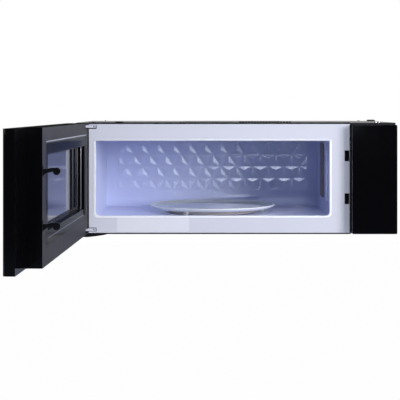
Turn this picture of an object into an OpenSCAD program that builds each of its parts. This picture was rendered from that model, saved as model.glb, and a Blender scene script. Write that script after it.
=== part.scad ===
// Built-in low-profile microwave oven with a cooktop hood, door standing open.
// Origin: centre of the wall-side face. X to the right, -Y to the front, Z up.

/* [Body] */
// Height of the outer case
body_h = 262; // [255:1:275]
// Depth from the wall to the face of the front plate
body_d = 404; // [395:1:430]
// Thickness of the case sheets
sheet_t = 1; // [0.8:0.1:1.2]
// Thickness of the steel plate screwed to the wall
wall_plate_t = 2; // [1.5:0.1:3]
// Width of the space beside the cavity at the hinge side
left_room = 43; // [42:0.5:46]
// Width of the machine bay at the right of the cavity
bay_room = 153; // [150:0.5:170]
// Depth of the space behind the cavity
rear_room = 42.8; // [40:0.2:50]

/* [Cavity] */
// Inner width of the oven cavity
cav_w = 560; // [540:1:590]
// Inner height of the oven cavity
cav_h = 186; // [175:1:190]
// Height of the cavity floor above the underside of the case
floor_h = 36; // [34:1:38]
// Width of the lip that the front plate leaves beside the cavity
side_lip = 3.5; // [2:0.5:6]
// Height of the sill above the cavity floor
sill_h = 6; // [4:0.5:12]
// Height of the lip under the cavity ceiling
top_lip = 3.5; // [2:0.5:6]
// Corner radius at the bottom of the opening
sill_r = 9; // [5:0.5:12]
// Depth of the turned-in collar round the opening, measured from the face
mouth_collar = 6; // [4:0.5:10]
// Depth of the collars round the latch slots, measured from the face
slot_collar = 4.5; // [4:0.5:8]

/* [Front plate] */
// Width of the white front plate beside the cavity at the right
plate_beside = 46.5; // [45:0.5:47]
// Distance of the front plate's left edge from the side of the case
plate_in = 28; // [26:0.5:31]
// Width of a latch slot
slot_w = 9; // [8:0.5:10]
// Height of a latch slot
slot_h = 25.5; // [24:0.5:27]
// Distance of the latch slots' middle from the front plate's right edge
slot_in = 8; // [7:0.5:9.5]
// Height of the middle of the lower latch slot
slot_low = 82; // [80:1:85]
// Height of the middle of the upper latch slot
slot_high = 183.5; // [180:1:187]

/* [Door] */
// Distance between the sides of the case and the ends of the door slab
slab_in = 2; // [1:0.5:4]
// Height of the door
door_h = 260; // [250:1:261]
// Thickness of the outer door slab with its glass
slab_t = 21.5; // [20:0.5:23]
// Thickness of the front glass
front_glass_t = 4; // [3:0.5:5]
// Thickness of the inner door frame
inner_t = 30; // [28:0.5:31]
// Distance of the inner door frame's free end from the front plate's right edge
inner_in = 3.5; // [3:0.5:5]
// Gap between the closed door and the front plate
door_gap = 1; // [0.8:0.1:1.5]
// Angle at which the open door stands
door_open = 92; // [85:1:92]
// Radius of the hinge pins
pin_r = 3; // [2.5:0.1:3.2]
// Distance of the hinge pins from the left end of the slab
pin_in = 13; // [12.5:0.5:13.5]
// Running clearance of the hinge pins in their bushes
pin_play = 0.05; // [0.02:0.01:0.09]
// Thickness of the hinge leaves
leaf_t = 3; // [2.5:0.1:3.5]
// Width of the glossy choke cover round the window
choke_w = 24; // [20:1:28]
// Reach of the latch hooks past the inner face
hook_reach = 33; // [30:0.5:34]
// Depth of the window behind the choke cover
window_in = 18; // [14:0.5:19]

/* [Turntable] */
// Diameter of the glass tray
tray_dia = 315; // [280:1:318]
// Thickness of the glass tray
tray_t = 4; // [3:0.5:5]
// Height of the tray's rim above its underside
tray_rise = 10; // [8:0.5:14]
// Diameter of a roller
roller_dia = 10; // [9:0.5:12]
// Distance of the rollers from the turning axis
roller_ring_r = 126; // [110:1:130]
// Distance of the turning axis behind the front plate
tray_back = 180; // [170:1:190]

/* [Fastening to the house] */
// Spacing of the wall studs that the lag screws enter
stud_pitch = 406.4; // [400:0.1:410]
// Height between the two rows of lag screw holes
lag_rise = 160; // [120:1:180]
// Radius of a lag screw hole
lag_r = 4; // [3:0.1:5]
// Distance of the two cabinet bolts from the sides of the case
cabinet_in = 58; // [50:1:75]
// Radius of a cabinet bolt hole
cabinet_r = 3.5; // [3:0.1:5]
// Distance of the cabinet bolts from the wall
cabinet_y = 170; // [160:1:180]
// Width of the exhaust outlet
outlet_w = 254; // [250:1:260]
// Depth of the exhaust outlet
outlet_d = 83; // [80:1:90]
// Radius of the bore for the power lead
lead_r = 6; // [4:0.5:8]

/* [Hidden] */
$fn = 48;
gap = 0.3;
body_w = left_room + cav_w + bay_room;
base_z = -body_h / 2;
top_z = body_h / 2;
half_w = body_w / 2;
front_y = -body_d;
rear_y = -wall_plate_t;
plate_t = 1.2;
cav_left = -half_w + left_room;
cav_right = cav_left + cav_w;
cav_x = (cav_left + cav_right) / 2;
cav_front = front_y + plate_t;
cav_rear = -rear_room;
plate_left = -half_w + plate_in;
plate_right = cav_right + plate_beside;
slot_x = plate_right - slot_in;
inner_right = plate_right - inner_in;
slab_w = body_w - 2 * slab_in;
cabinet_pitch = body_w - 2 * cabinet_in;
floor_z = base_z + floor_h;
ceiling_z = floor_z + cav_h;
open_left = cav_left + side_lip;
open_right = cav_right - side_lip;
open_low = floor_z + sill_h;
open_high = ceiling_z - top_lip;
tray_y = front_y + tray_back;
roller_r = roller_dia / 2;
tray_z = floor_z + roller_dia + 2 * gap;
bay_left = cav_right + sheet_t;
bay_right = half_w - sheet_t;
pin_x = -slab_w / 2 + pin_in;
inner_face_y = front_y - door_gap;
hinge_r = pin_in + 1;
pin_y = inner_face_y - hinge_r;
slab_back_y = inner_face_y - inner_t;
slab_face_y = slab_back_y - slab_t;
door_low = -door_h / 2;
door_high = door_h / 2;
window_left = open_left - 4 + choke_w;
window_right = open_right + 4 - choke_w;
window_low = open_low - 3 + choke_w;
window_high = open_high + 14 - choke_w;
slot_zs = [base_z + slot_low, base_z + slot_high];

// A block between two corners
module block(low, high) {
  translate(low) cube(high - low);
}

// A rectangle with four round corners, from its lower left corner
module round_rect(w, h, r) {
  translate([r, 0]) square([w - 2 * r, h]);
  translate([0, r]) square([w, h - 2 * r]);
  for (x = [r, w - r], y = [r, h - r]) translate([x, y]) circle(r);
}

// An upright panel with round corners, seen from the front
module panel(x0, z0, x1, z1, y0, y1, r) {
  translate([0, y1, 0]) rotate([90, 0, 0]) linear_extrude(y1 - y0)
    translate([x0, z0]) round_rect(x1 - x0, z1 - z0, r);
}

// An upright frame: a panel with a smaller panel cut out of it
module frame(x0, z0, x1, z1, y0, y1, band, r) {
  translate([0, y1, 0]) rotate([90, 0, 0]) linear_extrude(y1 - y0) difference() {
    translate([x0, z0]) round_rect(x1 - x0, z1 - z0, r);
    translate([x0 + band, z0 + band]) round_rect(x1 - x0 - 2 * band, z1 - z0 - 2 * band, r);
  }
}

// A round bar along Y
module bar_y(x, z, y0, y1, r) {
  translate([x, y1, z]) rotate([90, 0, 0]) cylinder(h = y1 - y0, r = r);
}

// A round bar along X
module bar_x(y, z, x0, x1, r) {
  translate([x0, y, z]) rotate([0, 90, 0]) cylinder(h = x1 - x0, r = r);
}

// Moves the door parts from closed to the way the open door stands
module opened() {
  translate([pin_x, pin_y, 0]) rotate([0, 0, -door_open]) translate([-pin_x, -pin_y, 0]) children();
}

// Outer case: top and two sides in one folded sheet
vent_pitch = 7;
vent_count = 18;
vent_w = 3.6;
vent_l = 24;
vent_starts = [cav_x - 77, cav_x + 65];
vent_y = front_y + 9;
top_slot_x = cav_left + 19;
top_slot_w = 26;
outlet_y = rear_y - 18 - outlet_d;
cord_x = half_w - 14;
cord_y = -70;
cord_hole_r = 9;
module outer_case() {
  color([0.09, 0.09, 0.10]) difference() {
    union() {
      block([-half_w, front_y, top_z - sheet_t], [half_w, rear_y, top_z]);
      block([-half_w, front_y, base_z], [-half_w + sheet_t, rear_y, top_z]);
      block([half_w - sheet_t, front_y, base_z], [half_w, rear_y, top_z]);
      block([-half_w, front_y, base_z], [plate_left, front_y + sheet_t, top_z]);
    }
    for (start = vent_starts, i = [0:vent_count - 1])
      translate([start + i * vent_pitch, vent_y, top_z - 2 * sheet_t])
        linear_extrude(3 * sheet_t) round_rect(vent_w, vent_l, vent_w / 2 - 0.01);
    block([top_slot_x, vent_y, top_z - 2], [top_slot_x + top_slot_w, vent_y + 8, top_z + 1]);
    block([-outlet_w / 2, outlet_y, top_z - 2], [outlet_w / 2, outlet_y + outlet_d, top_z + 1]);
    for (side = [-1, 1]) translate([side * cabinet_pitch / 2, -cabinet_y, top_z - 2])
      cylinder(h = 4, r = cabinet_r);
    translate([cord_x, cord_y, top_z - 2]) cylinder(h = 4, r = cord_hole_r);
  }
}

// Base pan: the underside, with filter openings, lamp openings and upturned rims
filter_w = 230;
filter_travel = 12;
filter_l = 130;
filter_y = front_y + 96;
filter_xs = [cav_left + 25, cav_left + 305];
lamp_xs = [cav_left + 200, cav_left + 410];
lamp_w = 60;
lamp_l = 38;
lamp_y = front_y + 30;
ledge = 8;
intake_x = cav_right + 37;
intake_y = front_y + 150;
intake_l = 60;
intake_count = 12;
module base_pan() {
  color([0.55, 0.56, 0.58]) difference() {
    union() {
      block([-half_w + sheet_t, front_y + plate_t, base_z], [half_w - sheet_t, rear_y - sheet_t, base_z + sheet_t]);
      for (x = [-half_w + sheet_t, half_w - 2 * sheet_t])
        block([x, front_y + plate_t, base_z], [x + sheet_t, rear_y - sheet_t, base_z + 12]);
      for (x = filter_xs) filter_rim(x);
    }
    for (x = filter_xs)
      block([x + ledge, filter_y + ledge, base_z - 1], [x + filter_w - ledge, filter_y + filter_l - ledge, base_z + 2]);
    for (x = lamp_xs) translate([x, lamp_y, base_z - 1]) linear_extrude(3) round_rect(lamp_w, lamp_l, 5);
    for (i = [0:intake_count - 1]) translate([intake_x + i * vent_pitch, intake_y, base_z - 1])
      linear_extrude(3) round_rect(vent_w, intake_l, vent_w / 2 - 0.01);
  }
}

// The rim that a grease filter lies in
module filter_rim(x) {
  rim_h = 9;
  difference() {
    block([x - 2, filter_y - 2, base_z + sheet_t], [x + filter_w + filter_travel + 2, filter_y + filter_l + 2, base_z + rim_h]);
    block([x - 1, filter_y - 1, base_z], [x + filter_w + filter_travel + 1, filter_y + filter_l + 1, base_z + rim_h + 1]);
  }
}

// Rear panel, with the slots that the wall plate's hooks enter
hook_xs = [-half_w + 88, -10, half_w - 108];
hook_w = 40;
hook_z = base_z + 14;
lag_head = 6;
module rear_panel() {
  color([0.62, 0.63, 0.65]) difference() {
    block([-half_w + sheet_t, rear_y - sheet_t, base_z], [half_w - sheet_t, rear_y, top_z - sheet_t]);
    for (x = hook_xs) block([x - 1, rear_y - 2, hook_z - 1], [x + hook_w + 1, rear_y + 1, hook_z + 5]);
    block([-outlet_w / 2, rear_y - 2, top_z - 36], [outlet_w / 2, rear_y + 1, top_z - 6]);
    for (x = [-stud_pitch / 2, stud_pitch / 2], z = [-lag_rise / 2, lag_rise / 2])
      bar_y(x, z, rear_y - 2, rear_y + 1, lag_r + lag_head);
  }
}

// Wall plate: screwed to the studs, with hooks that carry the oven
module wall_plate() {
  color([0.66, 0.67, 0.69]) {
    difference() {
      panel(-half_w + 12, base_z + 6, half_w - 12, top_z - 6, -wall_plate_t, 0, 8);
      panel(-outlet_w / 2, top_z - 36, outlet_w / 2, top_z - 10, -wall_plate_t - 1, 1, 3);
      for (x = [-150, 40]) panel(x, base_z + 70, x + 110, base_z + 180, -wall_plate_t - 1, 1, 10);
      for (x = [-stud_pitch / 2, stud_pitch / 2], z = [-lag_rise / 2, lag_rise / 2])
        bar_y(x, z, -wall_plate_t - 1, 1, lag_r);
    }
    for (x = hook_xs) {
      block([x, rear_y - 9, hook_z], [x + hook_w, rear_y, hook_z + 2]);
      block([x, rear_y - 9, hook_z], [x + hook_w, rear_y - 7, hook_z + 14]);
    }
  }
}

// Front plate: the white face round the oven's opening, with turned-in collars
collar_t = 1;
mouth_top_r = 2;
module mouth(grow) {
  w = open_right - open_left + 2 * grow;
  h = open_high - open_low + 2 * grow;
  translate([open_left - grow, open_low - grow]) {
    round_rect(w, h * 0.6, sill_r + grow);
    translate([0, h * 0.4]) round_rect(w, h * 0.6, mouth_top_r + grow);
  }
}
module slot_block(grow, y0, y1) {
  for (z = slot_zs)
    block([slot_x - slot_w / 2 - grow, y0, z - slot_h / 2 - grow], [slot_x + slot_w / 2 + grow, y1, z + slot_h / 2 + grow]);
}
module front_plate() {
  color([0.87, 0.87, 0.92]) difference() {
    union() {
      block([plate_left, front_y, base_z], [plate_right, front_y + plate_t, top_z - sheet_t]);
      translate([0, front_y + mouth_collar, 0]) rotate([90, 0, 0]) linear_extrude(mouth_collar) mouth(collar_t);
      slot_block(collar_t, front_y, front_y + slot_collar);
    }
    translate([0, front_y + mouth_collar + 1, 0]) rotate([90, 0, 0]) linear_extrude(mouth_collar + 2) mouth(0);
    slot_block(0, front_y - 1, front_y + slot_collar + 1);
  }
}

// Bay front: the sheet that closes the machine bay behind the control box
wire_w = 40;
wire_h = 24;
module bay_front() {
  wire_x = (plate_right + half_w) / 2 - wire_w / 2;
  color([0.09, 0.09, 0.10]) difference() {
    block([plate_right, front_y, base_z], [half_w - sheet_t, front_y + sheet_t, top_z - sheet_t]);
    panel(wire_x, -wire_h / 2, wire_x + wire_w, wire_h / 2, front_y - 1, front_y + sheet_t + 1, 6);
  }
}

// Cavity liner: ceiling and two side walls, which stand on narrow weld flanges
shaft_r = 7;
foot_w = 8;
wg_y = cav_front + 178;
wg_z = floor_z + 48;
wg_l = 62;
wg_h = 112;
cover_lap = 12;
module cavity_liner() {
  color([0.72, 0.75, 0.88]) difference() {
    union() {
      block([cav_left - sheet_t, cav_front, floor_z], [cav_right + sheet_t, cav_rear, ceiling_z + sheet_t]);
      block([cav_left - sheet_t - foot_w, cav_front, floor_z], [cav_right + sheet_t + foot_w, cav_rear, floor_z + sheet_t]);
    }
    block([cav_left, cav_front - 1, floor_z - 1], [cav_right, cav_rear + 1, ceiling_z]);
    block([cav_right - 1, wg_y, wg_z], [cav_right + 2, wg_y + wg_l, wg_z + wg_h]);
    for (i = [0:5], j = [0:3])
      bar_x(cav_front + 40 + i * 6, ceiling_z - 30 + j * 6, cav_right - 1, cav_right + 2, 1.8);
  }
}

// Cavity floor: a flat sheet under the walls, with the hole for the turntable's shaft
module cavity_floor() {
  color([0.72, 0.75, 0.88]) difference() {
    block([cav_left - sheet_t - foot_w, cav_front, floor_z - sheet_t], [cav_right + sheet_t + foot_w, cav_rear, floor_z]);
    translate([cav_x, tray_y, floor_z - 2 * sheet_t]) cylinder(h = 3 * sheet_t, r = shaft_r);
  }
}

// Cavity back: a sheet embossed with a net of low three-sided pyramids
emboss_edge = 42;
emboss_count = 12;
emboss_rise = 31.5;
emboss_rows = 4;
emboss_low = 42.5;
emboss_h = 1.6;
emboss_gap = 1;
module pyramid(edge, rise, h, way) {
  low = -rise / 3 * way;
  high = rise * 2 / 3 * way;
  polyhedron(
    points = [[-edge / 2, 0, low], [edge / 2, 0, low], [0, 0, high], [0, -h, 0]],
    faces = way > 0 ? [[3, 1, 0], [3, 2, 1], [3, 0, 2], [0, 1, 2]] : [[0, 1, 3], [1, 2, 3], [2, 0, 3], [2, 1, 0]]
  );
}
module cavity_back() {
  left = cav_x - emboss_edge * emboss_count / 2 + 3;
  color([0.62, 0.66, 0.84]) union() {
    block([cav_left - sheet_t, cav_rear, floor_z - sheet_t], [cav_right + sheet_t, cav_rear + sheet_t, ceiling_z + sheet_t]);
    for (row = [0:emboss_rows - 1], i = [0:2 * emboss_count - 2]) {
      way = (i + row) % 2 == 1 ? 1 : -1;
      low = floor_z + emboss_low + row * emboss_rise;
      translate([left + (i + 1) * emboss_edge / 2, cav_rear, low + emboss_rise * (way > 0 ? 1 : 2) / 3])
        pyramid(emboss_edge - emboss_gap, emboss_rise - emboss_gap, emboss_h, way);
    }
  }
}

// Mica cover over the waveguide's mouth
module waveguide_cover() {
  color([0.60, 0.53, 0.45])
    block([cav_right - 0.6, wg_y - cover_lap, wg_z - cover_lap],
          [cav_right, wg_y + wg_l + cover_lap, wg_z + wg_h + cover_lap]);
}

// Waveguide: a folded channel that leads from the magnetron to the cavity
guide_d = 34;
guide_top = ceiling_z - 5;
guide_x = bay_left + guide_d;
antenna_r = 13;
mag_y = wg_y + wg_l / 2;
mag_z = guide_top - 36;
module waveguide() {
  color([0.70, 0.71, 0.73]) difference() {
    block([bay_left, wg_y - 2, wg_z - 2], [guide_x, wg_y + wg_l + 2, guide_top]);
    block([bay_left - 1, wg_y, wg_z], [guide_x - sheet_t, wg_y + wg_l, guide_top - 2]);
    bar_x(mag_y, mag_z, guide_x - 2, guide_x + 1, antenna_r + 1);
  }
}

// Magnetron: yoke, cooling fins, magnets and antenna
module magnetron() {
  yoke_x = guide_x + 4;
  yoke_w = 52;
  color([0.62, 0.63, 0.66]) {
    difference() {
      block([yoke_x, mag_y - 44, mag_z - 40], [yoke_x + yoke_w, mag_y + 44, mag_z + 40]);
      block([yoke_x + 2, mag_y - 45, mag_z - 38], [yoke_x + yoke_w - 2, mag_y + 45, mag_z + 38]);
    }
    for (i = [0:7]) block([yoke_x + 12 + i * 3.6, mag_y - 40, mag_z - 38], [yoke_x + 13 + i * 3.6, mag_y + 40, mag_z + 38]);
    bar_x(mag_y, mag_z, yoke_x + 2, yoke_x + yoke_w - 2, 20);
    bar_x(mag_y, mag_z, guide_x, yoke_x, 20);
    bar_x(mag_y, mag_z, guide_x - 24, guide_x, antenna_r);
    block([yoke_x + yoke_w, mag_y - 24, mag_z - 22], [yoke_x + yoke_w + 24, mag_y + 24, mag_z + 22]);
  }
}

// Transformer: laminated core with two windings
core_x = bay_left + 30;
core_y = front_y + 62;
module transformer() {
  core_z = base_z + sheet_t;
  color([0.32, 0.32, 0.34]) {
    difference() {
      block([core_x, core_y, core_z + 10], [core_x + 92, core_y + 60, core_z + 86]);
      for (z = [core_z + 26, core_z + 50]) block([core_x + 16, core_y - 1, z], [core_x + 76, core_y + 61, z + 20]);
    }
    for (z = [core_z + 26.5, core_z + 50.5])
      block([core_x + 17, core_y - 14, z], [core_x + 75, core_y + 74, z + 19]);
    for (y = [core_y + 4, core_y + 46]) block([core_x - 8, y, core_z], [core_x + 100, y + 10, core_z + 10]);
  }
}

// High-voltage capacitor, an oval can with two tabs
cap_x = bay_right - 78;
cap_y = front_y + 16;
module capacitor() {
  cap_z = base_z + 112;
  color([0.74, 0.75, 0.77]) {
    translate([cap_x, cap_y + 16, cap_z]) linear_extrude(84) {
      square([60, 32]);
      for (x = [0, 60]) translate([x, 16]) circle(16);
    }
    for (x = [18, 42]) block([cap_x + x, cap_y + 28, cap_z + 84], [cap_x + x + 6, cap_y + 34, cap_z + 96]);
    block([cap_x, cap_y + 48, cap_z + 10], [bay_right, cap_y + 50, cap_z + 30]);
  }
}

// High-voltage diode on the capacitor's strap
module diode() {
  diode_z = base_z + 132;
  color([0.12, 0.12, 0.13]) {
    bar_x(cap_y + 54, diode_z, bay_right - 70, bay_right - 40, 4);
    for (x = [bay_right - 74, bay_right - 40])
      block([x, cap_y + 50, diode_z - 3], [x + 4, cap_y + 58, diode_z + 3]);
  }
}

// Blower: a scroll that draws air from the base and blows it into the duct above
wheel_r = 52;
wheel_y = -92;
wheel_z = base_z + 92;
wheel_left = bay_left + 42;
wheel_w = 72;
house_left = bay_left + 32;
house_right = bay_right - 26;
duct_low = ceiling_z + sheet_t;
duct_high = top_z - sheet_t;
module scroll(r, grow, x0, x1) {
  translate([x0, wheel_y, wheel_z]) rotate([90, 0, 90]) linear_extrude(x1 - x0) {
    polygon(concat(
      [for (a = [-180:10:90]) (r + grow * (a + 180) / 270) * [cos(a), sin(a)]],
      [for (a = [100:10:170]) r * [cos(a), sin(a)]]
    ));
    square([r + grow * 2 / 3, duct_low - wheel_z]);
  }
}
module blower_housing() {
  color([0.58, 0.59, 0.61]) difference() {
    scroll(wheel_r + 6, 14, house_left, house_right);
    scroll(wheel_r + 4.8, 14, house_left + 1.2, house_right - 1.2);
    bar_x(wheel_y, wheel_z, house_left - 1, house_right + 1, wheel_r - 8);
    block([house_left + 1.2, wheel_y + 2, duct_low - 30], [house_right - 1.2, wheel_y + wheel_r + 12, duct_low + 1]);
  }
}

// Blower wheel: two rings of forward-curved blades on one hub plate
blade_count = 30;
hub_bore = 4;
module blower_rotor() {
  rim = 3;
  color([0.20, 0.20, 0.22]) translate([wheel_left, wheel_y, wheel_z]) rotate([90, 0, 90]) {
    translate([0, 0, wheel_w / 2 - 1.5]) linear_extrude(3) difference() {
      circle(wheel_r);
      circle(hub_bore + pin_play);
    }
    translate([0, 0, wheel_w / 2 - 10]) linear_extrude(20) difference() {
      circle(9);
      circle(hub_bore + pin_play);
    }
    for (z = [0, wheel_w - rim]) translate([0, 0, z]) linear_extrude(rim) difference() {
      circle(wheel_r);
      circle(wheel_r - 9);
    }
    for (i = [0:blade_count - 1]) rotate(i * 360 / blade_count)
      translate([wheel_r - 8, -0.6, 0]) rotate(24) linear_extrude(wheel_w) square([8, 1.2]);
  }
}

// Blower motor: held in the right-hand mouth, its shaft carries the wheel
module blower_motor() {
  motor_left = wheel_left + wheel_w / 2 + 12;
  color([0.40, 0.41, 0.44]) {
    bar_x(wheel_y, wheel_z, motor_left, house_right + 8, 30);
    bar_x(wheel_y, wheel_z, wheel_left + wheel_w / 2 - 14, motor_left, hub_bore);
    difference() {
      block([house_right, wheel_y - 6, wheel_z - wheel_r], [house_right + 2, wheel_y + 6, wheel_z + wheel_r]);
      bar_x(wheel_y, wheel_z, house_right - 1, house_right + 3, 29);
    }
  }
}

// Cooling fan frame: a square frame with four spokes that hold the motor
fan_y = wg_y - 46;
fan_x = bay_left + 80;
fan_z = mag_z - 6;
fan_r = 42;
fan_hole = fan_r + 3;
module fan_frame() {
  color([0.30, 0.30, 0.32]) {
    difference() {
      panel(fan_x - 50, fan_z - 50, fan_x + 50, fan_z + 50, fan_y, fan_y + 12, 6);
      bar_y(fan_x, fan_z, fan_y - 1, fan_y + 13, fan_hole);
    }
    for (a = [45:90:315]) translate([fan_x, fan_y + 12, fan_z]) rotate([90, a, 0])
      translate([12, -2, 0]) cube([fan_hole - 10, 4, 2]);
    bar_y(fan_x, fan_z, fan_y + 10, fan_y + 24, 16);
    bar_y(fan_x, fan_z, fan_y - 4, fan_y + 10, 2);
    block([fan_x + 49, fan_y, fan_z - 30], [bay_right, fan_y + 2, fan_z + 30]);
    block([bay_right - 1.5, fan_y, fan_z - 30], [bay_right, fan_y + 16, fan_z + 30]);
  }
}

// Cooling fan: hub with five pitched blades
module cooling_fan() {
  color([0.82, 0.83, 0.84]) translate([fan_x, fan_y + 9, fan_z]) rotate([90, 0, 0]) {
    difference() {
      cylinder(h = 12, r = 13);
      translate([0, 0, -1]) cylinder(h = 14, r = 2 + pin_play);
    }
    for (i = [0:4]) rotate(i * 72) translate([12, 0, 6]) rotate([38, 0, 0])
      translate([0, -7, -0.7]) cube([fan_r - 14, 14, 1.4]);
  }
}

// Air duct: the flat channel above the cavity, from the blower to the outlets
module air_duct() {
  left = -outlet_w / 2 - 12;
  right = house_right;
  rear = rear_y - sheet_t;
  front = -150;
  t = 1;
  color([0.66, 0.67, 0.69]) difference() {
    block([left, front, duct_low], [right, rear, duct_high]);
    block([left + t, front + t, duct_low + t], [right - t, rear - t, duct_high + 1]);
    block([house_left + 1, wheel_y + 2, duct_low - 1], [house_right - t, wheel_y + wheel_r + 12, duct_low + 2]);
    block([left + 20, front - 1, duct_low + 4], [outlet_w / 2 + 23, front + 2, duct_high - 2]);
    block([-outlet_w / 2, rear - 2, top_z - 36], [outlet_w / 2, rear + 1, duct_high + 1]);
  }
}

// Charcoal filter under the front vents
module charcoal_filter() {
  color([0.13, 0.13, 0.14])
    block([vent_starts[0] - 8, front_y + 6, top_z - sheet_t - 15], [vent_starts[1] + 132, front_y + 60, top_z - sheet_t]);
}

// Turntable motor under the cavity floor
shaft_top = floor_z + 7;
output_r = 2.95;
module turntable_motor() {
  can_top = floor_z - sheet_t;
  color([0.72, 0.73, 0.75]) {
    translate([cav_x, tray_y, can_top - 14]) cylinder(h = 14, r = 25);
    for (a = [0, 180]) translate([cav_x, tray_y, can_top - 1.5]) rotate(a) block([20, -7, 0], [35, 7, 1.5]);
    translate([cav_x, tray_y, can_top]) cylinder(h = sheet_t + 0.5, r = 5);
    translate([cav_x, tray_y, can_top]) cylinder(h = shaft_top - can_top, r = output_r);
  }
}

// Drive coupler: a three-armed hub on the motor's shaft
coupler_z = floor_z + 1;
module drive_coupler() {
  arm_top = tray_z - gap;
  color([0.88, 0.88, 0.86]) difference() {
    union() {
      translate([cav_x, tray_y, coupler_z]) cylinder(h = arm_top - coupler_z, r = 11);
      for (a = [90:120:330]) translate([cav_x, tray_y, arm_top - 5]) rotate(a) block([8, -3.5, 0], [24, 3.5, 5]);
      for (a = [90:120:330]) translate([cav_x, tray_y, arm_top - 5]) rotate(a)
        translate([24, 0, 0]) cylinder(h = 5, r = 3.5);
    }
    translate([cav_x, tray_y, coupler_z - 1]) cylinder(h = shaft_top + gap - coupler_z + 1, r = output_r + pin_play);
  }
}

// Glass tray: shallow dish with a steep rim and three lugs below
lug_drop = 1.5;
module turntable_tray() {
  r = tray_dia / 2;
  foot = r - 12;
  color([0.75, 0.85, 0.85, 0.4]) translate([cav_x, tray_y, tray_z]) {
    rotate_extrude($fn = 96) polygon([
      [0, 0], [foot - 4, 0], [foot, 0.6], [r - 4, tray_rise - 5.5], [r - 0.5, tray_rise - 2.5], [r, tray_rise - 1],
      [r - 1, tray_rise], [r - 5, tray_rise - 1], [foot - 2, tray_t], [0, tray_t]
    ]);
    for (a = [30:120:270]) rotate(a) block([12.5, -7, -lug_drop], [22, 7, 0]);
  }
}

// Roller ring: a ring with three stub axles for the rollers
module roller_ring() {
  ring_z = floor_z + gap + roller_r - 3;
  ring_r = roller_ring_r - 14;
  color([0.86, 0.86, 0.84]) {
    translate([cav_x, tray_y, ring_z]) linear_extrude(6) difference() {
      circle(ring_r, $fn = 96);
      circle(ring_r - 8, $fn = 96);
    }
    for (a = [0:120:240]) translate([cav_x, tray_y, ring_z + 3]) rotate(a)
      rotate([0, 90, 0]) translate([0, 0, ring_r - 2]) cylinder(h = 22, r = 2.2);
  }
}

// A roller on its stub axle
roller_w = 8;
module roller(a) {
  color([0.92, 0.92, 0.90]) translate([cav_x, tray_y, floor_z + gap + roller_r]) rotate(a)
    rotate([0, 90, 0]) translate([0, 0, roller_ring_r - roller_w / 2]) difference() {
      union() {
        cylinder(h = roller_w, r = roller_r - 0.6);
        translate([0, 0, 1.5]) cylinder(h = roller_w - 3, r = roller_r);
      }
      translate([0, 0, -1]) cylinder(h = roller_w + 2, r = 2.2 + pin_play);
    }
}
module roller_1() { roller(0); }
module roller_2() { roller(120); }
module roller_3() { roller(240); }

// Cover of the box at the right, level with the inner door when that is closed
box_left = plate_right + 1;
box_right = half_w;
box_low = base_z + 4;
box_high = top_z - 5;
box_y = front_y - inner_t;
module control_box_cover() {
  wall = 2.2;
  color([0.05, 0.05, 0.055]) difference() {
    panel(box_left, box_low, box_right, box_high, box_y, front_y, 2.5);
    panel(box_left + wall, box_low + wall, box_right - wall, box_high - wall, box_y + wall, front_y + 1, 2);
  }
}

// Control board behind the cover, with its relays and connectors
module control_board() {
  board_y = front_y - 7;
  color([0.16, 0.38, 0.24]) {
    block([box_left + 8, board_y, box_low + 20], [box_right - 8, board_y + 1.6, box_high - 20]);
    for (z = [box_low + 40, box_low + 70, box_low + 100])
      block([box_left + 16, board_y - 15, z], [box_left + 34, board_y, z + 22]);
    block([box_left + 50, board_y - 18, box_low + 60], [box_left + 84, board_y, box_low + 100]);
    block([box_left + 50, board_y - 8, box_low + 140], [box_left + 90, board_y, box_low + 148]);
    for (x = [box_left + 14, box_right - 14], z = [box_low + 26, box_high - 26])
      bar_y(x, z, board_y + 1.6, front_y, 3);
  }
}

// Interlock bracket: holds the door switches behind the latch slots
lock_x0 = slot_x - 9;
lock_x1 = slot_x + 9;
lock_depth = 46;
module interlock_bracket() {
  color([0.90, 0.90, 0.88]) difference() {
    block([lock_x0, front_y + plate_t, base_z + slot_low - 28], [lock_x1, front_y + lock_depth, base_z + slot_high + 30]);
    block([lock_x0 + 2, front_y + 3, base_z + slot_low - 26], [lock_x1 - 2, front_y + lock_depth + 1, base_z + slot_high + 28]);
    slot_block(collar_t + gap, front_y, front_y + slot_collar + gap);
  }
}

// Two door switches in the bracket
plunger_out = 1.5;
switch_y = front_y - door_gap + hook_reach + gap + plunger_out;
module interlock_switches() {
  color([0.15, 0.15, 0.16]) for (z = slot_zs) {
    difference() {
      block([lock_x0 + 2.2, switch_y, z - 16], [lock_x1 - 2.2, switch_y + 11, z + 12]);
      block([slot_x - 1.6, switch_y - 1, z - 4.6], [slot_x + 1.6, switch_y + 6, z - 1.4]);
    }
    for (t = [-12, -2, 8]) block([slot_x - 0.5, switch_y + 11, z + t], [slot_x + 0.5, switch_y + 18, z + t + 3]);
  }
}

// The switches' plungers
module plunger(z) {
  color([0.85, 0.2, 0.15])
    block([slot_x - 1.3, switch_y - plunger_out, z - 4.3], [slot_x + 1.3, switch_y + 3.5, z - 1.7]);
}
module plunger_upper() { plunger(slot_zs[1]); }
module plunger_lower() { plunger(slot_zs[0]); }

// Mains filter board at the top of the bay
module noise_filter_board() {
  board_z = duct_low + 4;
  board_y = front_y + 10;
  color([0.16, 0.38, 0.24]) {
    block([bay_left + 60, board_y, board_z], [bay_right - 4, board_y + 70, board_z + 1.6]);
    translate([bay_left + 85, board_y + 35, board_z + 1.6]) cylinder(h = 14, r = 12);
    block([bay_left + 104, board_y + 12, board_z + 1.6], [bay_left + 128, board_y + 28, board_z + 14]);
    block([bay_right - 4, board_y, board_z - 10], [bay_right, board_y + 70, board_z + 12]);
  }
}

// Thermal cut-out on the cavity ceiling
module thermal_cutout() {
  color([0.2, 0.2, 0.22]) translate([cav_right - 60, cav_front + 120, ceiling_z + sheet_t]) {
    cylinder(h = 8, r = 8);
    block([-18, -6, 0], [18, 6, 1]);
    for (x = [-5, 4]) block([x, -2, 8], [x + 1, 2, 15]);
  }
}

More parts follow.
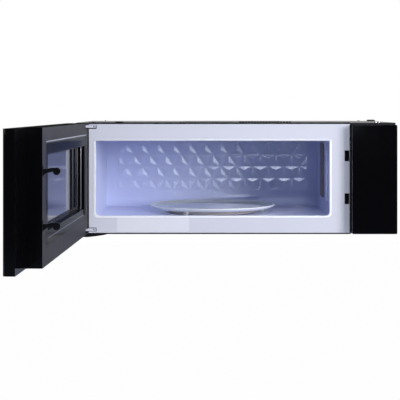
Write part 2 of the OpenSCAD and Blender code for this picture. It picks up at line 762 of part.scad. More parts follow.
// Cavity lamp behind the perforated patch of the right-hand wall
module cavity_lamp() {
  lamp_at = [bay_left, cav_front + 55, ceiling_z - 21];
  color([0.9, 0.9, 0.88]) {
    difference() {
      block([bay_left, lamp_at[1] - 20, lamp_at[2] - 14], [bay_left + 26, lamp_at[1] + 20, lamp_at[2] + 14]);
      block([bay_left - 1, lamp_at[1] - 18, lamp_at[2] - 12], [bay_left + 24, lamp_at[1] + 18, lamp_at[2] + 12]);
    }
    bar_x(lamp_at[1], lamp_at[2], bay_left + 10, bay_left + 24, 8);
    bar_x(lamp_at[1], lamp_at[2], bay_left + 26, bay_left + 40, 6);
  }
}

// Two cooktop lamps in the base, over their lenses
module cooktop_lamps() {
  color([0.85, 0.85, 0.82]) for (x = lamp_xs) {
    difference() {
      block([x - 4, lamp_y - 4, base_z + 4], [x + lamp_w + 4, lamp_y + lamp_l + 4, base_z + 18]);
      block([x - 2, lamp_y - 2, base_z + 3], [x + lamp_w + 2, lamp_y + lamp_l + 2, base_z + 16]);
    }
    for (i = [0:2]) block([x + 12 + i * 15, lamp_y + 14, base_z + 14.5], [x + 17 + i * 15, lamp_y + 19, base_z + 16]);
  }
}

// The lamps' lenses
module lamp_lenses() {
  color([0.95, 0.95, 0.97, 0.5]) for (x = lamp_xs) {
    translate([x + gap, lamp_y + gap, base_z]) linear_extrude(sheet_t)
      round_rect(lamp_w - 2 * gap, lamp_l - 2 * gap, 5);
    block([x - 4, lamp_y - 4, base_z + sheet_t], [x + lamp_w + 4, lamp_y + lamp_l + 4, base_z + 4]);
  }
}

// A grease filter: a frame with a mesh of crossed strips and a finger pull
filter_t = 7;
module grease_filter(x) {
  low = base_z + sheet_t + gap;
  bars = 16;
  rows = 8;
  color([0.70, 0.71, 0.73]) {
    difference() {
      block([x, filter_y, low], [x + filter_w, filter_y + filter_l, low + filter_t]);
      block([x + 8, filter_y + 8, low - 1], [x + filter_w - 8, filter_y + filter_l - 8, low + filter_t + 1]);
    }
    for (i = [1:bars - 1]) {
      at = x + 8 + i * (filter_w - 16) / bars;
      block([at - 1, filter_y + 7, low + 1], [at + 1, filter_y + filter_l - 7, low + 3.5]);
    }
    for (i = [1:rows - 1]) {
      at = filter_y + 8 + i * (filter_l - 16) / rows;
      block([x + 7, at - 1, low + 3.5], [x + filter_w - 7, at + 1, low + 6]);
    }
  }
}
module grease_filter_left() { grease_filter(filter_xs[0]); }
module grease_filter_right() { grease_filter(filter_xs[1]); }

// Hinge leaves: screwed to the front plate, each with a tongue that holds a pin
leaf_up = top_z - 10.5;
leaf_down = base_z + 7.5;
leaf_right = plate_left + 19;
tongue_r = 8;
module hinge_leaf(z) {
  foot_t = 2;
  difference() {
    union() {
      block([pin_x - 2, front_y - foot_t, z - 1.5], [leaf_right, front_y, z + leaf_t + 1.5]);
      translate([0, 0, z]) linear_extrude(leaf_t) {
        translate([pin_x, pin_y]) circle(tongue_r);
        translate([pin_x - 2, pin_y]) square([10, front_y - pin_y]);
      }
    }
    translate([pin_x, pin_y, z - 5]) cylinder(h = leaf_t + 10, r = pin_r);
    bar_y(leaf_right - 4.5, z + leaf_t / 2, front_y - 4, front_y + 1, 1.6);
  }
}
module hinge_upper() {
  color([0.86, 0.86, 0.88]) hinge_leaf(leaf_up);
}
module hinge_lower() {
  color([0.86, 0.86, 0.88]) hinge_leaf(leaf_down);
}

// The two hinge pins, pressed into their leaves
pin_l = 22;
module hinge_pins() {
  color([0.75, 0.76, 0.78]) {
    translate([pin_x, pin_y, leaf_up + leaf_t - pin_l]) cylinder(h = pin_l, r = pin_r);
    translate([pin_x, pin_y, leaf_down]) cylinder(h = pin_l, r = pin_r);
  }
}

// Cover under the lower hinge: a low wedge below the case
wedge_l = half_w - 8;
module lower_hinge_cover() {
  color([0.05, 0.05, 0.055]) translate([0, front_y + 40, base_z]) rotate([90, 0, 0]) linear_extrude(39)
    polygon([[-wedge_l, 0], [-wedge_l, -9], [-wedge_l + 20, -9], [-wedge_l + 38, -7], [-wedge_l + 58, -4], [-wedge_l + 74, 0]]);
}

// Gland for the power lead, in the top of the case
module cord_gland() {
  color([0.07, 0.07, 0.07]) translate([cord_x, cord_y, top_z]) rotate_extrude() polygon([
    [lead_r, -9], [cord_hole_r + 2, -9], [cord_hole_r + 2, -sheet_t], [cord_hole_r, -sheet_t],
    [cord_hole_r, 0], [cord_hole_r + 2, 0], [cord_hole_r + 2, 2.5], [cord_hole_r, 4], [lead_r, 4]
  ]);
}

// Screws of the case, with pan heads
case_screw_at = [
  [-half_w + 41, front_y + 16], [half_w - 45, front_y + 16], [half_w - 37, front_y + 24],
  [-half_w + 41, rear_y - 28], [half_w - 41, rear_y - 28]
];
module case_screws() {
  color([0.60, 0.61, 0.63]) for (p = case_screw_at)
    translate([p[0], p[1], top_z]) difference() {
      cylinder(h = 2, r = 3.6);
      translate([0, 0, 1]) rotate(20) block([-2.6, -0.5, 0], [2.6, 0.5, 2]);
    }
}

// Clip at the front edge of the top
module top_clip() {
  color([0.05, 0.05, 0.055]) block([-half_w + 93, front_y + 1, top_z], [-half_w + 111, front_y + 15, top_z + 2.5]);
}

// Inner door frame: a folded pan whose hinge end is round about the pins
frame_wall = 1.2;
bush_r = 5;
bush_l = 20;
end_block = 36;
notch_play = 2.5;
module inner_outline(inset) {
  left = -slab_w / 2 + inset;
  translate([pin_x, slab_back_y]) square([inner_right - inset - pin_x, inner_t - inset]);
  translate([left, slab_back_y]) square([pin_in, pin_y - slab_back_y]);
  translate([pin_x, pin_y]) circle(pin_in - inset);
}
module door_inner_frame() {
  bar_right = slot_x - 4 + hook_t + gap;
  lug_y = bar_y0 - 9;
  spring_seat = spring_z - spring_wire - gap;
  color([0.33, 0.32, 0.36]) opened() {
    difference() {
      translate([0, 0, door_low]) linear_extrude(door_h) inner_outline(0);
      translate([0, 0, door_low + end_block]) linear_extrude(door_h - 2 * end_block) inner_outline(frame_wall);
      block([pin_x + 16, slab_back_y - 1, door_low + frame_wall], [inner_right - frame_wall, inner_face_y - frame_wall, door_high - frame_wall]);
      block([-slab_w / 2 + frame_wall, slab_back_y - 1, door_low + end_block], [inner_right - frame_wall, slab_back_y + 1, door_high - end_block]);
      panel(open_left - 4, open_low - 3, open_right + 4, open_high + 14, inner_face_y - 5, inner_face_y + 1, 4);
      for (z = [leaf_up, leaf_down])
        block([pin_x - 20, pin_y - 10, z - notch_play], [leaf_right + 1.5, inner_face_y + 1, z + leaf_t + notch_play]);
      for (z = slot_zs) block([slot_x - 5, inner_face_y - 5, z - 13.5], [slot_x + 2.5, inner_face_y + 1, z + 7]);
      for (z = [leaf_up - bush_l - 3, leaf_down + leaf_t + 3])
        translate([pin_x, pin_y, z]) cylinder(h = bush_l + 1, r = bush_r);
      translate([pin_x, pin_y, leaf_down + leaf_t + 2]) cylinder(h = bush_l + 1, r = bush_r);
    }
    for (z = [slot_zs[0] + 22, slot_zs[1] - 22])
      block([bar_right, bar_y0, z], [inner_right - frame_wall / 2, bar_y0 + 8, z + 12]);
    block([slot_x - 4, lug_y, spring_seat - 2], [inner_right - frame_wall / 2, bar_y0 - gap, spring_seat]);
  }
}

// Nylon bushes pressed into the inner frame round the pins
module hinge_bushes() {
  color([0.92, 0.92, 0.88]) opened() for (z = [leaf_up - bush_l - 3, leaf_down + leaf_t + 3])
    translate([pin_x, pin_y, z]) difference() {
      cylinder(h = bush_l, r = bush_r);
      translate([0, 0, -1]) cylinder(h = bush_l + 2, r = pin_r + pin_play);
    }
}

// Choke cover: the glossy ring on the inner face, stepping in to the window
choke_t = 1.5;
module choke_cover() {
  y = inner_face_y;
  step = window_in / 2;
  color([0.10, 0.10, 0.13]) opened() {
    frame(open_left - 3.6, open_low - 2.6, open_right + 3.6, open_high + 13.6, y - choke_t - 0.4, y - 0.4, choke_w, 3);
    frame(window_left - 1.9, window_low - 1.9, window_right + 1.9, window_high + 1.9,
          y - step, y - choke_t - 0.4, 1.5, 3);
    frame(window_left - 1.9, window_low - 1.9, window_right + 1.9, window_high + 1.9,
          y - step - choke_t, y - step, 4.5, 3);
    frame(window_left + 1.1, window_low + 1.1, window_right - 1.1, window_high - 1.1,
          y - window_in, y - step - choke_t, 1.5, 3);
  }
}

// Inner glass, at the bottom of the choke cover's well
module inner_glass() {
  color([0.55, 0.60, 0.80, 0.5]) opened()
    block([window_left - 3, inner_face_y - window_in - 3, window_low - 3],
          [window_right + 3, inner_face_y - window_in, window_high + 3]);
}

// Window screen: the metal sheet behind the glass
module window_screen() {
  y = inner_face_y - window_in - 3;
  color([0.12, 0.12, 0.13]) opened() {
    block([window_left - 8, y - 0.8, window_low - 8], [window_right + 8, y, window_high + 8]);
    frame(window_left - 8, window_low - 8, window_right + 8, window_high + 8, slab_back_y, y - 0.8, 0.8, 3);
  }
}

// Outer door slab: a moulded tray that carries the front glass
door_screw_x = inner_right + 8;
door_screw_zs = [-door_h / 3, 0, door_h / 3];
screw_head_r = 3.5;
module door_slab_frame() {
  wall = 2;
  back = 1.6;
  left = -slab_w / 2;
  right = slab_w / 2;
  face = slab_face_y + front_glass_t;
  color([0.04, 0.04, 0.045]) opened() {
    difference() {
      block([left, face, door_low], [right, slab_back_y, door_high]);
      block([left + wall, face - 1, door_low + wall], [right - wall, slab_back_y - back, door_high - wall]);
      block([window_left + 6, face - 1, window_low + 6], [window_right - 6, slab_back_y + 1, window_high - 6]);
      for (z = door_screw_zs) bar_y(door_screw_x, z, slab_back_y - back - 1, slab_back_y + 1, screw_head_r + 0.2);
    }
    frame(window_left, window_low, window_right, window_high, face, slab_back_y - back, 3, 4);
    for (z = door_screw_zs) difference() {
      bar_y(door_screw_x, z, face, slab_back_y - back, 6);
      bar_y(door_screw_x, z, face - 1, slab_back_y - back - 3, 2);
    }
  }
}

// Front glass across the whole width of the door
module door_front_glass() {
  color([0.02, 0.02, 0.025]) opened()
    panel(-slab_w / 2, door_low, slab_w / 2, door_high, slab_face_y, slab_face_y + front_glass_t, 2);
}

// Touch board behind the front glass, beside the window
module touch_board() {
  face = slab_face_y + front_glass_t;
  x0 = inner_right + 14;
  x1 = slab_w / 2 - 10;
  color([0.16, 0.38, 0.24]) opened() {
    block([x0, face, door_low + 24], [x1, face + 1.6, door_high - 24]);
    block([x0 + 12, face + 1.6, door_high - 74], [x1 - 12, face + 8, door_high - 44]);
    for (i = [0:2]) block([x0 + 20, face + 1.6, door_low + 50 + i * 30], [x0 + 34, face + 4, door_low + 64 + i * 30]);
    for (x = [x0 + 6, x1 - 6], z = [door_low + 32, door_high - 32]) bar_y(x, z, face + 1.6, slab_back_y - 1.6, 3);
  }
}

// Screws that join the slab to the inner frame, from the slab's back
module door_screws() {
  color([0.60, 0.61, 0.63]) opened()
    for (z = door_screw_zs) bar_y(door_screw_x, z, slab_back_y - 1.6, slab_back_y, screw_head_r);
}

// Latch hooks: two hooks on one bar inside the inner frame, pulled down by a spring
hook_t = 5;
bar_y0 = inner_face_y - 14;
module latch_hooks() {
  x0 = slot_x - 4;
  lug_z = spring_z + spring_l + spring_wire + 0.05;
  color([0.05, 0.05, 0.055]) opened() {
    block([x0, bar_y0, slot_zs[0] - 26], [x0 + hook_t, inner_face_y - 6, slot_zs[1] + 22]);
    block([x0, bar_y0 - 9, lug_z], [x0 + hook_t, bar_y0, lug_z + 2]);
    for (z = slot_zs) translate([x0, inner_face_y, z]) rotate([90, 0, 90]) linear_extrude(hook_t) {
      polygon([[-7, -12], [1, -11], [8, -6.5], [17, -4.5], [24, 0], [24, 3], [16, 3.2], [8, 1], [-7, 0.5]]);
      translate([hook_reach - 6.5, -3]) circle(6.5);
    }
  }
}

// Latch spring: a coil that pulls the hooks' bar down
spring_turns = 9;
spring_r = 3;
spring_wire = 0.5;
spring_l = 30;
spring_z = (slot_zs[0] + slot_zs[1]) / 2 - spring_l / 2;
function spring_point(i, steps) = [
  spring_r * cos(i * 360 / steps), spring_r * sin(i * 360 / steps), spring_l * i / (spring_turns * steps)
];
function ring_point(i, k, steps, sides) = let (
    c = spring_point(i, steps),
    a = i * 360 / steps,
    b = k * 360 / sides
  ) [
    c[0] + spring_wire * cos(b) * cos(a), c[1] + spring_wire * cos(b) * sin(a), c[2] + spring_wire * sin(b)
  ];
module coil(steps, sides) {
  rings = spring_turns * steps;
  polyhedron(
    points = [for (i = [0:rings], k = [0:sides - 1]) ring_point(i, k, steps, sides)],
    faces = concat(
      [[for (k = [0:sides - 1]) k]],
      [for (i = [0:rings - 1], k = [0:sides - 1]) let (a = i * sides, n = (k + 1) % sides)
        [a + k, a + sides + k, a + sides + n]],
      [for (i = [0:rings - 1], k = [0:sides - 1]) let (a = i * sides, n = (k + 1) % sides)
        [a + k, a + sides + n, a + n]],
      [[for (k = [sides - 1:-1:0]) rings * sides + k]]
    )
  );
}
module latch_spring() {
  color([0.65, 0.66, 0.68]) opened()
    translate([slot_x - 1.5, bar_y0 - 5, spring_z]) coil(8, 6);
}

outer_case();
base_pan();
rear_panel();
wall_plate();
front_plate();
bay_front();
cavity_liner();
cavity_floor();
cavity_back();
waveguide_cover();
waveguide();
magnetron();
transformer();
capacitor();
diode();
blower_housing();
blower_motor();
blower_rotor();
fan_frame();
cooling_fan();
air_duct();
charcoal_filter();
turntable_motor();
drive_coupler();
turntable_tray();
roller_ring();
roller_1();
roller_2();
roller_3();
control_box_cover();
control_board();
interlock_bracket();
interlock_switches();
plunger_upper();
plunger_lower();
noise_filter_board();
thermal_cutout();
cavity_lamp();
cooktop_lamps();
lamp_lenses();
grease_filter_left();
grease_filter_right();
hinge_upper();
hinge_lower();
hinge_pins();
lower_hinge_cover();
cord_gland();
case_screws();
top_clip();
door_inner_frame();
choke_cover();
window_screen();
inner_glass();
door_slab_frame();
door_front_glass();
touch_board();
hinge_bushes();
door_screws();
latch_hooks();
latch_spring();
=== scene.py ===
import math

import bmesh
import bpy
from mathutils import Matrix, Vector


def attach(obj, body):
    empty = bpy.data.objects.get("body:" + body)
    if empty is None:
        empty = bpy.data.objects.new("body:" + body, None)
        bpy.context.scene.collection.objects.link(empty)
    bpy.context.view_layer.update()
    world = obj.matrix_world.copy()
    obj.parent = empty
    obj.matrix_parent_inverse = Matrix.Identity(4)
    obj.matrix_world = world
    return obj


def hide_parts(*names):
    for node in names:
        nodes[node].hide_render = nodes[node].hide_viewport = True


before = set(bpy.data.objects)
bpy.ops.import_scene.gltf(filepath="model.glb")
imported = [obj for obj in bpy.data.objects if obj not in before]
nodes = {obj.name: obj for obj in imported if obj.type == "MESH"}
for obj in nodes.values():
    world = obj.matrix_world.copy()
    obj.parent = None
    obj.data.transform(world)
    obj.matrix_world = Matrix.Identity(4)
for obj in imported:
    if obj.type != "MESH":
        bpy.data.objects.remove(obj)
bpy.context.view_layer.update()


# Camera. It stands 2.9 m in front of the white plate, level, 35 mm above the case's top, and its
# long lens is shifted so that the oven sits across the middle.
camera_data = bpy.data.cameras.new("camera")
camera_data.sensor_width = 36
camera_data.lens = 110.7
camera_data.shift_x = -0.0175
camera_data.shift_y = -0.2308
camera = bpy.data.objects.new("camera", camera_data)
camera.location = (-0.068, -3.314, 0.1665)
camera.rotation_euler = (math.radians(90), 0, 0)
bpy.context.scene.collection.objects.link(camera)
bpy.context.scene.camera = camera
bpy.context.scene.view_settings.view_transform = "Standard"


# Studio. A pale floor well below the hanging oven and a white surround that only shows behind
# it: what faces the camera mirrors a dark room, as in a studio with black flags.
def wire(tree, source, target):
    tree.links.new(source, target)


def preset(node, values):
    """Sets a node's inputs from pairs of socket and value."""
    for socket, value in values.items():
        node.inputs[socket].default_value = value


def add(tree, kind, values=None):
    """Adds a node of a kind to a tree and sets the inputs named."""
    made = tree.nodes.new(kind)
    preset(made, values or {})
    return made


def shader(name):
    """A new material, its node tree and its Principled shader."""
    made = bpy.data.materials.new(name)
    made.use_nodes = True
    return made, made.node_tree, made.node_tree.nodes["Principled BSDF"]


world = bpy.data.worlds.new("studio")
bpy.context.scene.world = world
world.use_nodes = True
sky = world.node_tree
sky.nodes.clear()
seen = add(sky, "ShaderNodeLightPath")
toward = add(sky, "ShaderNodeTexCoord")
split = add(sky, "ShaderNodeSeparateXYZ")
fall = add(sky, "ShaderNodeMapRange", {
    "From Min": -0.25, "From Max": 0.35, "To Min": 0.03, "To Max": 0.95,
})
ambient = add(sky, "ShaderNodeBackground", {"Color": (0.62, 0.74, 1.0, 1), "Strength": 0.32})
mirrored = add(sky, "ShaderNodeBackground")
white = add(sky, "ShaderNodeBackground", {"Color": (1, 1, 1, 1)})
by_gloss = add(sky, "ShaderNodeMixShader")
by_eye = add(sky, "ShaderNodeMixShader")
either = add(sky, "ShaderNodeMath")
either.operation = "MAXIMUM"
out = add(sky, "ShaderNodeOutputWorld")
wire(sky, toward.outputs["Generated"], split.inputs[0])
wire(sky, split.outputs["Y"], fall.inputs["Value"])
wire(sky, fall.outputs["Result"], mirrored.inputs["Strength"])
wire(sky, seen.outputs["Is Glossy Ray"], by_gloss.inputs["Fac"])
wire(sky, ambient.outputs[0], by_gloss.inputs[1])
wire(sky, mirrored.outputs[0], by_gloss.inputs[2])
wire(sky, seen.outputs["Is Camera Ray"], either.inputs[0])
wire(sky, seen.outputs["Is Transmission Ray"], either.inputs[1])
wire(sky, either.outputs[0], by_eye.inputs["Fac"])
wire(sky, by_gloss.outputs[0], by_eye.inputs[1])
wire(sky, white.outputs[0], by_eye.inputs[2])
wire(sky, by_eye.outputs[0], out.inputs["Surface"])

floor_half, floor_z = 12, -1.5
floor_bm = bmesh.new()
bmesh.ops.create_grid(floor_bm, x_segments=8, y_segments=8, size=floor_half)
bmesh.ops.translate(floor_bm, verts=floor_bm.verts, vec=(0, 0, floor_z))
floor_mesh = bpy.data.meshes.new("studio_floor")
floor_bm.to_mesh(floor_mesh)
floor_bm.free()
studio_floor = bpy.data.objects.new("studio_floor", floor_mesh)
bpy.context.scene.collection.objects.link(studio_floor)
pale, pale_tree, pale_bsdf = shader("studio_floor")
preset(pale_bsdf, {"Base Color": (0.86, 0.86, 0.87, 1), "Roughness": 0.8})
glow = add(pale_tree, "ShaderNodeEmission")
path = add(pale_tree, "ShaderNodeLightPath")
share = add(pale_tree, "ShaderNodeMath", {1: 0.985})
share.operation = "MULTIPLY"
blend = add(pale_tree, "ShaderNodeMixShader")
wire(pale_tree, path.outputs["Is Camera Ray"], share.inputs[0])
wire(pale_tree, share.outputs[0], blend.inputs["Fac"])
wire(pale_tree, pale_bsdf.outputs[0], blend.inputs[1])
wire(pale_tree, glow.outputs[0], blend.inputs[2])
wire(pale_tree, blend.outputs[0], pale_tree.nodes["Material Output"].inputs["Surface"])
floor_mesh.materials.append(pale)


# Lamps. A large soft box at the right lights the plate and, through the mouth, the cavity's left
# half; a high one evens it out. Two small ones beside the lens are what the embossed facets
# mirror, and one above lights the tops.
def soft_box(name, place, target, width, height, watts, tint=(1, 1, 1)):
    lamp = bpy.data.lights.new(name, "AREA")
    lamp.shape = "RECTANGLE"
    lamp.size = width
    lamp.size_y = height
    lamp.energy = watts
    lamp.color = tint
    made = bpy.data.objects.new(name, lamp)
    made.location = place
    made.rotation_euler = (Vector(target) - Vector(place)).to_track_quat("-Z", "Y").to_euler()
    bpy.context.scene.collection.objects.link(made)


soft_box("side_box", (2.05, -2.75, 0.60), (-0.1, -0.3, 0.0), 1.3, 1.1, 75, (0.99, 0.985, 1.0))
soft_box("high_box", (0.30, -2.8, 1.75), (0.0, -0.3, 0.0), 0.9, 0.5, 24, (0.97, 0.975, 1.0))
soft_box("facet_box", (0.29, -3.30, 0.23), (-0.1, -0.05, 0.0), 0.66, 0.26, 1.9, (0.80, 0.86, 1.0))
soft_box("rim_box", (0.21, -3.30, 0.505), (0.1, -0.05, 0.0), 0.48, 0.20, 1.6, (0.78, 0.85, 1.0))
soft_box("top_box", (0.1, -1.1, 1.9), (0.0, -0.4, 0.0), 1.6, 1.0, 5)


# Outer case: one sheet of steel folded over the top and both sides, coated in black powder.
# Its folds are eased, as a press brake leaves them.
def pattern(tree, kind, values):
    """Adds a texture node that reads the piece's own coordinates."""
    made = add(tree, kind, values)
    wire(tree, add(tree, "ShaderNodeTexCoord").outputs["Object"], made.inputs["Vector"])
    return made


def noise(tree, scale, detail=3.0):
    return pattern(tree, "ShaderNodeTexNoise", {"Scale": scale, "Detail": detail}).outputs["Fac"]


def tint(tree, bsdf, value, low, high, low_at=0.35, high_at=0.65):
    """Colours the surface between low and high by a value."""
    made = add(tree, "ShaderNodeValToRGB")
    made.color_ramp.elements[0].position = low_at
    made.color_ramp.elements[1].position = high_at
    made.color_ramp.elements[0].color = (*low, 1)
    made.color_ramp.elements[1].color = (*high, 1)
    wire(tree, value, made.inputs["Fac"])
    wire(tree, made.outputs["Color"], bsdf.inputs["Base Color"])


def dull(tree, bsdf, value, low, high):
    """Spreads the surface's roughness between low and high by a value."""
    made = add(tree, "ShaderNodeMapRange", {
        "From Min": 0.3, "From Max": 0.7, "To Min": low, "To Max": high,
    })
    wire(tree, value, made.inputs["Value"])
    wire(tree, made.outputs["Result"], bsdf.inputs["Roughness"])


def dent(tree, bsdf, value, depth):
    """Raises the surface by a value, to a height in metres."""
    made = add(tree, "ShaderNodeBump", {"Strength": 1.0, "Distance": depth})
    wire(tree, value, made.inputs["Height"])
    wire(tree, made.outputs["Normal"], bsdf.inputs["Normal"])


def shaded(colour, factor):
    return tuple(min(1.0, c * factor) for c in colour)


def coated(
    name, colour, roughness, mottle=0.07, peel=420.0, peel_depth=0.00004, coat=0.0,
    specular=0.5, uneven=0.15,
):
    """Paint, powder or enamel: faint clouds, an uneven gloss and a fine orange peel."""
    made, tree, bsdf = shader(name)
    preset(bsdf, {"Specular IOR Level": specular, "Coat Weight": coat, "Coat Roughness": 0.06})
    tint(tree, bsdf, noise(tree, 7.0), shaded(colour, 1 - mottle), shaded(colour, 1 + mottle))
    dull(tree, bsdf, noise(tree, 23.0), roughness * (1 - uneven), roughness * (1 + uneven))
    dent(tree, bsdf, noise(tree, peel, 2.0), peel_depth)
    return made


def dress(material, *names):
    """Gives the CAD nodes named, which stay in the scene, their material."""
    for name in names:
        mesh = nodes[name].data
        mesh.materials.clear()
        mesh.materials.append(material)


def finish_piece(bm, name, material, body, stands_for=(), smooth=35.0):
    """Makes a mesh a piece that rides on a body and stands for the CAD nodes named."""
    mesh = bpy.data.meshes.new(name)
    bm.to_mesh(mesh)
    bm.free()
    mesh.materials.append(material)
    mesh.shade_smooth()
    mesh.set_sharp_from_angle(angle=math.radians(smooth))
    piece = bpy.data.objects.new(name, mesh)
    bpy.context.scene.collection.objects.link(piece)
    even = piece.modifiers.new("even_normals", "WEIGHTED_NORMAL")
    even.keep_sharp = True
    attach(piece, body)
    if stands_for:
        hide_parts(*stands_for)
    return piece


def soften(bm, edges, width, segments, clamp=False):
    bmesh.ops.bevel(
        bm, geom=edges, offset=width, segments=segments, profile=0.5, affect="EDGES",
        clamp_overlap=clamp, material=-1,
    )


def eased(node, name, width, material, body, segments=2, smooth=35.0):
    """Copies a CAD node, merges its faces and rounds its sharp edges."""
    bm = bmesh.new()
    bm.from_mesh(nodes[node].data)
    bmesh.ops.remove_doubles(bm, verts=bm.verts, dist=0.000002)
    bmesh.ops.dissolve_limit(bm, angle_limit=math.radians(0.5), verts=bm.verts, edges=bm.edges)
    sharp = [e for e in bm.edges if e.is_manifold and e.calc_face_angle(0) > math.radians(40)]
    soften(bm, sharp, width, segments, clamp=True)
    return finish_piece(bm, name, material, body, (node,), smooth)


black_powder = coated(
    "black_powder", (0.006, 0.006, 0.008), 0.30, mottle=0.2, peel=900.0, peel_depth=0.000012,
    specular=0.35,
)
eased("outer_case", "case_shell", 0.0003, black_powder, "case")


# Base pan: a folded steel tray painted dark grey, spot-welded inside the case. It carries the
# grease filters and the lamp lenses over the cooktop.
dress(coated("base_grey", (0.10, 0.10, 0.105), 0.42, mottle=0.12), "base_pan")


# Zinc-coated sheets: the rear panel, the wall plate and the pieces inside the machine bay. They
# are bare, so the crystals of the zinc show as faint patches.
def zinc(name, colour, roughness):
    """Zinc-coated or plain metal with crystals a centimetre wide."""
    made, tree, bsdf = shader(name)
    preset(bsdf, {"Metallic": 0.85})
    spangle = pattern(tree, "ShaderNodeTexVoronoi", {"Scale": 90}).outputs["Color"]
    tint(tree, bsdf, spangle, shaded(colour, 0.84), shaded(colour, 1.08), 0.2, 0.9)
    dull(tree, bsdf, spangle, roughness * 0.8, roughness * 1.2)
    dent(tree, bsdf, noise(tree, 60.0), 0.0001)
    return made


dress(
    zinc("bare_zinc", (0.56, 0.57, 0.59), 0.38),
    "rear_panel", "wall_plate", "waveguide", "blower_housing", "air_duct", "turntable_motor",
    "capacitor",
)


# Front plate: the white steel face round the mouth. The sheet is rolled inward along the mouth,
# its right edge is folded back, and two slots let the door's hooks in.
def turn(bm, verts, degrees, axis, about=(0, 0, 0)):
    matrix = Matrix.Rotation(math.radians(degrees), 3, axis)
    bmesh.ops.rotate(bm, verts=verts, cent=about, matrix=matrix)


def rounded_loop(bm, left, low, right, high, radius, y, top_radius=None):
    """Draws an upright rounded rectangle and returns its edges."""
    before = set(bm.verts)
    corners = bmesh.ops.create_grid(bm, x_segments=1, y_segments=1, size=0.5)["verts"]
    bmesh.ops.scale(bm, verts=corners, vec=(right - left, high - low, 1))
    lower = [v for v in corners if v.co.y < 0]
    upper = [v for v in corners if v.co.y > 0]
    for pair, size in ((lower, radius), (upper, top_radius or radius)):
        bmesh.ops.bevel(
            bm, geom=pair, offset=size, segments=6, profile=0.5, affect="VERTICES",
            clamp_overlap=True, material=-1,
        )
    fresh = [v for v in bm.verts if v not in before]
    turn(bm, fresh, 90, "X")
    bmesh.ops.translate(bm, verts=fresh, vec=((left + right) / 2, y, (low + high) / 2))
    edges = list(dict.fromkeys(e for v in fresh for e in v.link_edges))
    faces = list(dict.fromkeys(f for v in fresh for f in v.link_faces))
    bmesh.ops.delete(bm, geom=faces, context="FACES_ONLY")
    return edges


def ring_of(bm, loops, closed=True):
    """Bridges upright rounded rectangles: left, low, right, high, radius, y, top radius."""
    made = [rounded_loop(bm, *loop) for loop in loops]
    pairs = list(zip(made, made[1:]))
    if closed:
        pairs.append((made[-1], made[0]))
    for a, b in pairs:
        bmesh.ops.bridge_loops(bm, edges=a + b)
    bmesh.ops.recalc_face_normals(bm, faces=bm.faces)


def pierce(bm, left, low, right, high):
    """Cuts a square hole through the plate's front and back and walls it."""
    cuts = (((1, 0, 0), left), ((1, 0, 0), right), ((0, 0, 1), low), ((0, 0, 1), high))
    start = left - 0.045
    for normal, distance in cuts:
        near = [f for f in bm.faces if f.calc_center_median().x > start]
        geom = list(dict.fromkeys(g for f in near for g in (f, *f.edges, *f.verts)))
        bmesh.ops.bisect_plane(
            bm, geom=geom, dist=0.00001, plane_co=Vector(normal) * distance, plane_no=normal,
        )
    gone = []
    for f in bm.faces:
        middle = f.calc_center_median()
        if left < middle.x < right and low < middle.z < high:
            gone.append(f)
    bmesh.ops.delete(bm, geom=gone, context="FACES")
    bmesh.ops.bridge_loops(bm, edges=[e for e in bm.edges if e.is_boundary])


def grown(rect, by):
    return (rect[0] - by, rect[1] - by, rect[2] + by, rect[3] + by)


def repaint(piece, material, chosen):
    """Gives one more material to the faces for which chosen holds."""
    piece.data.materials.append(material)
    index = len(piece.data.materials) - 1
    for face in piece.data.polygons:
        if chosen(face):
            face.material_index = index


plate_y = -0.404
plate_outline = (-0.3478, -0.1300, 0.2698, 0.1281)
mouth = (-0.3315, -0.0890, 0.2215, 0.0875)
hook_slots = [(0.2576, z - 0.01275, 0.2688, z + 0.01275) for z in (-0.049, 0.0525)]
enamel_white = coated(
    "enamel_white", (0.600, 0.606, 0.675), 0.36, mottle=0.002, peel=260.0, peel_depth=0.000008,
    coat=0.2,
)
plate_bm = bmesh.new()
ring_of(plate_bm, [
    (*plate_outline, 0.0006, plate_y + 0.0012),
    (*plate_outline, 0.0006, plate_y + 0.0006),
    (*grown(plate_outline, -0.0006), 0.0005, plate_y),
    (*grown(mouth, 0.0062), 0.0140, plate_y, 0.0060),
    (*grown(mouth, 0.0050), 0.0128, plate_y - 0.0002, 0.0052),
    (*grown(mouth, 0.0034), 0.0115, plate_y - 0.0009, 0.0042),
    (*grown(mouth, 0.0018), 0.0105, plate_y - 0.0010, 0.0032),
    (*grown(mouth, 0.0006), 0.0096, plate_y - 0.0004, 0.0024),
    (*mouth, 0.0090, plate_y + 0.0008, 0.0020),
    (*mouth, 0.0090, plate_y + 0.0060, 0.0020),
    (*grown(mouth, 0.0010), 0.0100, plate_y + 0.0060, 0.0030),
    (*grown(mouth, 0.0010), 0.0100, plate_y + 0.0012, 0.0030),
])
for hook_slot in hook_slots:
    pierce(plate_bm, *hook_slot)
bmesh.ops.recalc_face_normals(plate_bm, faces=plate_bm.faces)
for hook_slot in hook_slots:
    ring_of(plate_bm, [
        (*grown(hook_slot, 0.0001), 0.0003, plate_y + 0.0011),
        (*grown(hook_slot, 0.0001), 0.0003, plate_y + 0.0045),
        (*grown(hook_slot, 0.0010), 0.0005, plate_y + 0.0045),
        (*grown(hook_slot, 0.0010), 0.0005, plate_y + 0.0011),
    ])
white_face = finish_piece(
    plate_bm, "white_face", enamel_white, "case", ("front_plate",),
)
# The rolled lip along the mouth's sides and bottom is painted a lighter white than the plate: a
# painted highlight.
lip_left, lip_low, lip_right, _ = grown(mouth, 0.0048)
lip_top = 0.0870
repaint(
    white_face,
    coated(
        "lip_painted_highlight", (0.83, 0.835, 0.88), 0.30, mottle=0.002, peel=260.0, peel_depth=0.000006,
        coat=0.4,
    ),
    lambda face: lip_left < face.center.x < lip_right and lip_low < face.center.z < lip_top,
)


